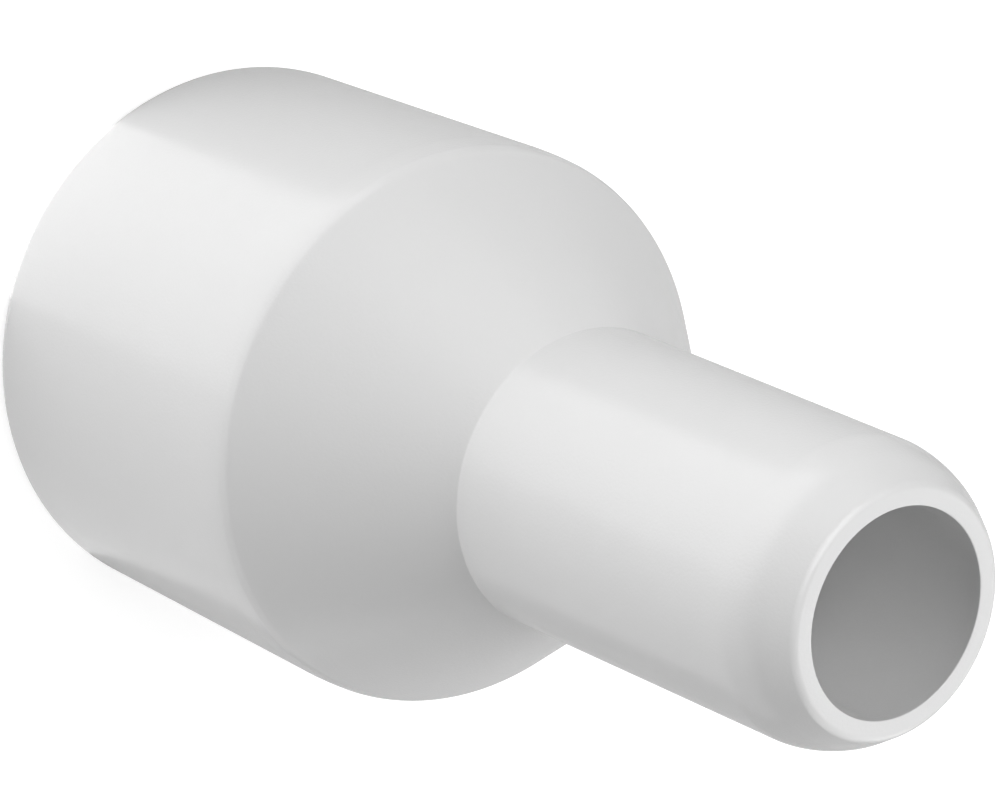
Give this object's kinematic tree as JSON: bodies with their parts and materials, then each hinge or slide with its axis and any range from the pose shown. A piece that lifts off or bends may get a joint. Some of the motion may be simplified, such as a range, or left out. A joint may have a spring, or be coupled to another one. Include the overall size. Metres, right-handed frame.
{
  "type": "pipe reducer",
  "caption": "Round plastic pipe reducer: a wide socket end, a short cone and a narrow tapered spigot with a bevelled open tip.",
  "frame": {"origin": "centre of the wide end's rim plane, which the reducer stands on", "axes": "+Z along the axis, from the wide end to the spigot's tip; X and Y are alike on this turned form"},
  "size_m": [0.042, 0.042, 0.0781],
  "materials": {
    "white_plastic": "satin"
  },
  "bodies": {
    "root": {"reducer": "white_plastic"}
  },
  "joints": []
}
